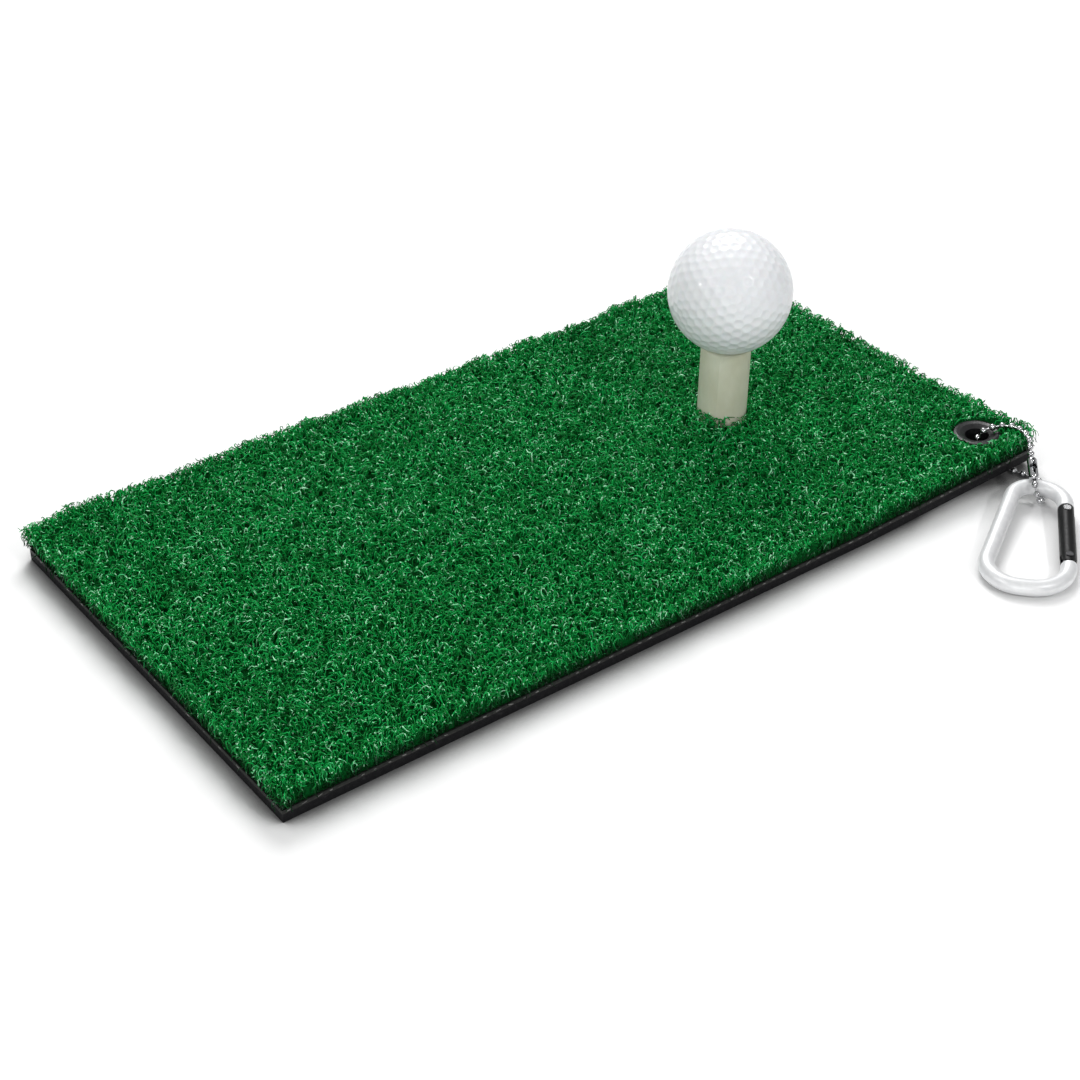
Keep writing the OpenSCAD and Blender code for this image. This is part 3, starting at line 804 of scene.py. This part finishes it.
def yarn_ends(mat):
    """Short ends of the tufting rows, seen along the cut edges between the foam and the pile."""
    gauge = 4.76 * MM
    missing = 0.12
    proud = 0.02 * MM
    bm = bmesh.new()
    z = (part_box("latex_coat")[0].z + BACKING_TOP) / 2
    stubs = []
    for y, side in ((SHEET_LO.y, -1), (SHEET_HI.y, 1)):
        for x in np.arange(SHEET_LO.x + gauge / 2, SHEET_HI.x, gauge):
            stubs.append((x, y, 0, side))
    for x, side in ((SHEET_LO.x, -1), (SHEET_HI.x, 1)):
        for y in np.arange(SHEET_LO.y + gauge, SHEET_HI.y, gauge * 2):
            stubs.append((x, y, side, 0))
    for x, y, sx, sy in stubs:
        if RANDOM.random() < missing:
            continue
        half = RANDOM.uniform(0.5, 1.15) * MM
        thick = RANDOM.uniform(0.14, 0.22) * MM
        tilt = RANDOM.normal(0, 0.12)
        made = bmesh.ops.create_uvsphere(bm, u_segments=10, v_segments=7, radius=1)["verts"]
        shift = RANDOM.normal(0, 0.35 * MM)
        for v in made:
            along, up, deep = v.co.x * half, v.co.z * thick + v.co.x * half * tilt, v.co.y * thick
            along += shift
            v.co = Vector((x + (along if sy else 0) + sx * (deep + proud),
                           y + (along if sx else 0) + sy * (deep + proud), z + up + 0.05 * MM))
    flat = np.array([v.co for v in bm.verts], float)
    for v, p in zip(bm.verts, curled(flat)):
        v.co = p
    obj = dress(add_bmesh("backing_yarn_ends", bm), mat)
    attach(obj, "mat")


# ---- tee and ball ----


def tee(mat):
    """Moulded tube with rounded rims, a wide foot and two fine mould seams."""
    # Radii of the tube's rims, of the foot's edges and of the corner between tube and foot
    lip, edge, corner = 0.75 * MM, 0.35 * MM, 0.25 * MM
    profile = arc((FOOT_RADIUS - edge, edge), edge, -90, 0, 5)
    profile += arc((FOOT_RADIUS - edge, FOOT_HEIGHT - edge), edge, 0, 90, 5)
    root = 0.8 * MM
    flat = FOOT_RADIUS - edge - TEE_RADIUS - root
    profile += [(TEE_RADIUS + root + flat * t, FOOT_HEIGHT) for t in (0.66, 0.33)]
    profile += arc((TEE_RADIUS + corner, FOOT_HEIGHT + corner), corner, 270, 180, 4)
    profile += [(TEE_RADIUS, z) for z in np.linspace(FOOT_HEIGHT + 0.6 * MM, TEE_HEIGHT - lip, 14)[:-1]]
    profile += arc((TEE_RADIUS - lip, TEE_HEIGHT - lip), lip, 0, 90, 7)
    profile += arc((TEE_BORE + lip, TEE_HEIGHT - lip), lip, 90, 180, 7)
    profile += [(TEE_BORE, z) for z in np.linspace(TEE_HEIGHT - lip, 0.4 * MM, 14)[1:]]
    profile += [(TEE_BORE + 0.4 * MM, 0)]

    def seam(a, r, z):
        """Rise of the two opposite mould seams at an angle, radius and height."""
        first, rise, half_width = 0.6, 0.09 * MM, 0.035
        near = min(abs((a - s + math.pi) % TAU - math.pi) for s in (first, first + math.pi))
        on_tube = r > TEE_RADIUS - 0.1 * MM and FOOT_HEIGHT < z < TEE_HEIGHT - 0.3 * MM
        return rise * math.exp(-(near / half_width) ** 2) if on_tube else 0

    obj = dress(lathe("tee", profile, TEE_CENTRE, 180, seam), mat)
    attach(obj, "tee")
    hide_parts("rubber_tee")


def dimple_centres(frequency=7):
    """Unit vectors of a geodesic sphere: the corners of an icosahedron's divided faces."""
    bm = bmesh.new()
    bmesh.ops.create_icosphere(bm, subdivisions=1, radius=1)
    seen = {}
    for f in bm.faces:
        a, b, c = (v.co.copy() for v in f.verts)
        for i in range(frequency + 1):
            for j in range(frequency + 1 - i):
                p = ((a * i + b * j + c * (frequency - i - j)) / frequency).normalized()
                seen[tuple(round(x, 4) for x in p)] = p
    bm.free()
    return list(seen.values())


def ball(cover, core):
    """Ball cover with round dimples, as a shell round the core."""
    spread = 1.62 * MM / BALL_RADIUS
    depth = 0.27 * MM
    # The dimple's rim is rounded off between these shares of its radius, from this share of its depth
    rim_in, rim_out, rim_depth = 0.86, 1.08, 0.26
    centres = dimple_centres()
    turn = Matrix.Rotation(0.6, 3, "X") @ Matrix.Rotation(0.35, 3, "Y")
    tree = KDTree(len(centres))
    for i, c in enumerate(centres):
        tree.insert(turn @ c, i)
    tree.balance()
    bm = bmesh.new()
    bmesh.ops.create_icosphere(bm, subdivisions=7, radius=1)
    for v in bm.verts:
        p = v.co.normalized()
        share = tree.find(p)[2] / spread
        sink = depth * (1 - share ** 2) if share < 1 else 0
        if rim_in < share < rim_out:
            sink = depth * rim_depth * ((rim_out - share) / (rim_out - rim_in)) ** 2
        v.co = BALL_CENTRE + p * (BALL_RADIUS - sink)
    inner = bmesh.ops.create_icosphere(bm, subdivisions=5, radius=1)["verts"]
    faces = {f for v in inner for f in v.link_faces}
    for v in inner:
        v.co = BALL_CENTRE + v.co * (CORE_RADIUS + 0.05 * MM)
    bmesh.ops.reverse_faces(bm, faces=list(faces))
    obj = dress(add_bmesh("ball_shell", bm), cover)
    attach(obj, "ball")
    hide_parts("ball_cover")
    dress(frame["nodes"]["ball_core"], core)


# ---- carabiner ----


# The carabiner's own frame at the gate's pivot: X towards the nose, Y towards the spine
GATE_AT = Vector(joint("gate_swing")["pos_m"])
OWN_Z = Vector(joint("gate_swing")["axis"]).normalized()
OWN_X = Vector(joint("plunger_slide")["axis"]).normalized()
OWN_Y = OWN_Z.cross(OWN_X)
BAR_RADIUS = 2.75 * MM
# Corners of the bar's centre line from the nose round to the pivot, with their radii, in millimetres
NOSE_X, FOOT_X = 27.9, -3.1
OUTLINE = [(38.95, 0), (38.95, 16.2), (-16.35, 29), (-16.35, 0)]
OUTLINE_RADII = [9.2, 8, 10.5, 12.5]


def in_place(x, y, z):
    """A point of the carabiner's own frame, given in millimetres, in the row frame."""
    return GATE_AT + (OWN_X * x + OWN_Y * y + OWN_Z * z) * MM


def bar_path():
    """Points and headings along the centre line, in millimetres."""
    corners = [(NOSE_X, 0), *OUTLINE, (FOOT_X, 0)]
    path = []
    for i, radius in enumerate(OUTLINE_RADII, start=1):
        p, q, s = (np.array(c, float) for c in corners[i - 1:i + 2])
        u, v = (q - p) / np.linalg.norm(q - p), (s - q) / np.linalg.norm(s - q)
        turn = math.acos(u @ v)
        side = math.copysign(1, u[0] * v[1] - u[1] * v[0])
        centre = q - u * radius * math.tan(turn / 2) + side * radius * np.array([-u[1], u[0]])
        start = math.atan2(u[1], u[0])
        for t in np.linspace(0, 1, 19):
            h = start + side * turn * t
            path.append((centre + side * radius * np.array([math.sin(h), -math.cos(h)]), h))
    ends = [(np.array([NOSE_X, 0.0]), 0.0), (np.array([FOOT_X, 0.0]), 0.0)]
    return [ends[0], *path, ends[1]]


def bar_frames():
    """Point, heading and share of the radius of each ring along the bar, with its ends rounded off."""
    edge = 0.35
    path = bar_path()
    nose, foot = path[0][0], path[-1][0]
    soft = []
    for t in (90, 60, 30):
        grow = 1 - edge / (BAR_RADIUS / MM) * (1 - math.cos(math.radians(t)))
        soft.append((edge * (1 - math.sin(math.radians(t))), grow))
    start = [(nose + np.array([back, 0]), 0.0, grow) for back, grow in soft]
    end = [(foot - np.array([back, 0]), 0.0, grow) for back, grow in reversed(soft)]
    return start + [(p, h, 1.0) for p, h in path[1:-1]] + end


def carabiner(mat):
    """Round bar with softened ends, and the flat tongues that its gate closes on."""
    sides, creased = 40, math.radians(40)
    verts, faces = [], []
    frames = bar_frames()
    for p, h, grow in frames:
        r = BAR_RADIUS / MM * grow
        for a in (TAU * j / sides for j in range(sides)):
            verts.append(in_place(p[0] - r * math.cos(a) * math.sin(h),
                                  p[1] + r * math.cos(a) * math.cos(h), -r * math.sin(a)))
    last = (len(frames) - 1) * sides
    for i in range(0, last, sides):
        for j in range(sides):
            k = (j + 1) % sides
            faces.append((i + j, i + k, i + sides + k, i + sides + j))
    faces += [tuple(reversed(range(sides))), tuple(last + j for j in range(sides))]
    # Sizes of the tongues, in millimetres
    half_t, half_w, bevel = 1.0, 1.6, 0.15

    def plate(outline):
        """A flat tongue from an outline in the carabiner's plane, with broken edges."""
        base = len(verts)
        n = len(outline)
        centre = np.mean(outline, axis=0)
        for z, inset in ((-half_t, bevel), (-half_t + bevel, 0), (half_t - bevel, 0), (half_t, bevel)):
            for x, y in outline:
                away = np.array([x, y]) - centre
                q = centre + away * (1 - inset / np.linalg.norm(away))
                verts.append(in_place(q[0], q[1], z))
        for k in range(3):
            for j in range(n):
                faces.append((base + k * n + j, base + k * n + (j + 1) % n,
                              base + (k + 1) * n + (j + 1) % n, base + (k + 1) * n + j))
        faces.append(tuple(base + j for j in reversed(range(n))))
        faces.append(tuple(base + 3 * n + j for j in range(n)))

    # The nose's tongue has a slot for the latch pin, open at the side that the gate comes from
    latch_x, slot, tip_x = 25.35, 1.05, 23.35
    half_turn = np.linspace(0, -math.pi, 9)[1:-1]
    plate([(tip_x, -half_w), (NOSE_X + 1, -half_w), (NOSE_X + 1, half_w),
           (latch_x + slot, half_w), (latch_x + slot, 0)]
          + [(latch_x + slot * math.cos(a), slot * math.sin(a)) for a in half_turn]
          + [(latch_x - slot, 0), (latch_x - slot, half_w), (tip_x, half_w)])
    # The foot's tongue has a corner that pushes the plunger in as the gate opens
    cam_x, cam_y = 1.75, 1.5
    quarter_turn = np.linspace(-math.pi / 2, 0, 7)
    plate([(FOOT_X - 1, half_w), (FOOT_X - 1, -half_w)]
          + [(half_w * math.cos(a), half_w * math.sin(a)) for a in quarter_turn]
          + [(cam_x, 0), (cam_x, cam_y), (0, half_w)])
    obj = dress(add_mesh("carabiner_bar", verts, faces), mat)
    bm = bmesh.new()
    bm.from_mesh(obj.data)
    bmesh.ops.recalc_face_normals(bm, faces=bm.faces)
    for e in bm.edges:
        if len(e.link_faces) == 2 and e.calc_face_angle(0) > creased:
            e.smooth = False
    bm.to_mesh(obj.data)
    bm.free()
    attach(obj, "carabiner")
    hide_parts("carabiner_frame")


# ---- the stage ----

# Each lamp's name, its place, what it points at, its width in metres and its power in watts
LAMPS = [
    ("key", (0.52, 0.70, 0.95), (0.02, 0, 0), 0.65, 10.4),
    ("left", (-1.08, 0.05, 1.00), (0, 0, 0.02), 0.12, 3.2),
    ("right", (0.17, -1.09, 1.07), (0, 0, 0.02), 0.12, 4.2),
    ("fill", (-0.95, -0.95, 0.45), (0, 0, 0.02), 1.00, 5.2),
]
SKY_STRENGTH = 0.53
# The camera's place, its azimuth, elevation and roll in degrees, and its lens, from a fit to the photo
CAMERA_PLACE = (-0.3528, -0.44816, 0.38723)
CAMERA_ANGLES = (-37.89, 35.0, 0.82)
CAMERA_LENS = 68.14


def stage():
    """A pale floor under a soft grey-to-white sky."""
    size = 4.0
    corners = [(-size, -size, 0), (size, -size, 0), (size, size, 0), (-size, size, 0)]
    floor = add_mesh("floor", corners, [(0, 1, 2, 3)])
    dress(floor, floor_look())
    floor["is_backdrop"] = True
    world = bpy.data.worlds.new("studio")
    bpy.context.scene.world = world
    world.use_nodes = True
    tree = world.node_tree
    coords = tree.nodes.new("ShaderNodeTexCoord")
    split = tree.nodes.new("ShaderNodeSeparateXYZ")
    tree.links.new(coords.outputs["Generated"], split.inputs["Vector"])
    ramp = tree.nodes.new("ShaderNodeValToRGB")
    tree.links.new(split.outputs["Z"], ramp.inputs["Fac"])
    low, high = ramp.color_ramp.elements
    low.position, low.color = 0.0, (0.38, 0.38, 0.39, 1)
    high.position, high.color = 0.8, (1, 1, 1, 1)
    middle = ramp.color_ramp.elements.new(0.25)
    middle.color = (0.66, 0.66, 0.67, 1)
    tree.links.new(ramp.outputs["Color"], tree.nodes["Background"].inputs["Color"])
    tree.nodes["Background"].inputs["Strength"].default_value = SKY_STRENGTH


def area_light(name, place, target, size, power):
    data = bpy.data.lights.new(name, "AREA")
    data.shape = "DISK"
    data.size = size
    data.energy = power
    obj = add_object(name, data)
    obj.location = place
    obj.rotation_mode = "QUATERNION"
    obj.rotation_quaternion = (Vector(target) - Vector(place)).to_track_quat("-Z", "Y")


def camera():
    """Stands where the picture was taken from: the mat's front left, 35 degrees above it."""
    azimuth, elevation, roll = (math.radians(a) for a in CAMERA_ANGLES)
    back = Vector((math.sin(azimuth) * math.cos(elevation), -math.cos(azimuth) * math.cos(elevation),
                   math.sin(elevation)))
    right = Vector((0, 0, 1)).cross(back).normalized()
    up = back.cross(right)
    turned = right * math.cos(roll) + up * math.sin(roll)
    up = up * math.cos(roll) - right * math.sin(roll)
    data = bpy.data.cameras.new("camera")
    data.lens = CAMERA_LENS
    data.sensor_width = 36
    data.clip_start = 0.01
    data.clip_end = 50
    obj = add_object("camera", data)
    obj.rotation_mode = "QUATERNION"
    obj.rotation_quaternion = Matrix((turned, up, back)).transposed().to_quaternion()
    obj.location = CAMERA_PLACE
    bpy.context.scene.camera = obj


def dress_cad_nodes():
    """Materials for the CAD nodes that keep their shape."""
    nodes = frame["nodes"]
    dress(nodes["base_sheet"], foam_look())
    dress(nodes["latex_coat"], latex_look())
    dress(nodes["backing_cloth"], backing_look())
    black = eyelet_look()
    for name in ("eyelet", "eyelet_washer"):
        dress(nodes[name], black)
    bright = metal_look("chain", ((0.44, 0.44, 0.45), (0.60, 0.61, 0.62)), (0.08, 0.18), 1.2 * MM,
                        Metallic=1.0)
    for name in sorted(nodes):
        if name.startswith("chain"):
            dress(nodes[name], bright)
    dress(nodes["gate_bar"], metal_look(
        "gate_black", ((0.002, 0.002, 0.0025), (0.006, 0.006, 0.0065)), (0.34, 0.48), 0.8 * MM,
        0.01 * MM, Metallic=0.0, Specular_IOR_Level=0.18))
    dress(nodes["gate_rivet"], metal_look(
        "dark_steel", ((0.05, 0.05, 0.052), (0.10, 0.10, 0.105)), (0.35, 0.5), 0.5 * MM, Metallic=1.0))
    steel = metal_look("steel", ((0.50, 0.50, 0.51), (0.68, 0.68, 0.69)), (0.22, 0.4), 0.5 * MM,
                       Metallic=1.0)
    for name in ("latch_pin", "gate_spring", "gate_plunger"):
        dress(nodes[name], steel)


camera()
stage()
for lamp in LAMPS:
    area_light(*lamp)
bpy.context.scene.view_settings.view_transform = "Standard"

dress_cad_nodes()
grow_turf(turf_look())
thatch(thatch_and_shade_look())
yarn_ends(yarn_look())
tee(tee_look())
ball(ball_look(), core_look())
carabiner(metal_look("aluminium", ((0.70, 0.71, 0.72), (0.78, 0.785, 0.79)), (0.36, 0.50), 0.6 * MM,
                     0.006 * MM, Metallic=0.3))

boxes = {"cad": CAD_BOX, "visual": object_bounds()}
{k: [list(corner) for corner in v] for k, v in boxes.items()}
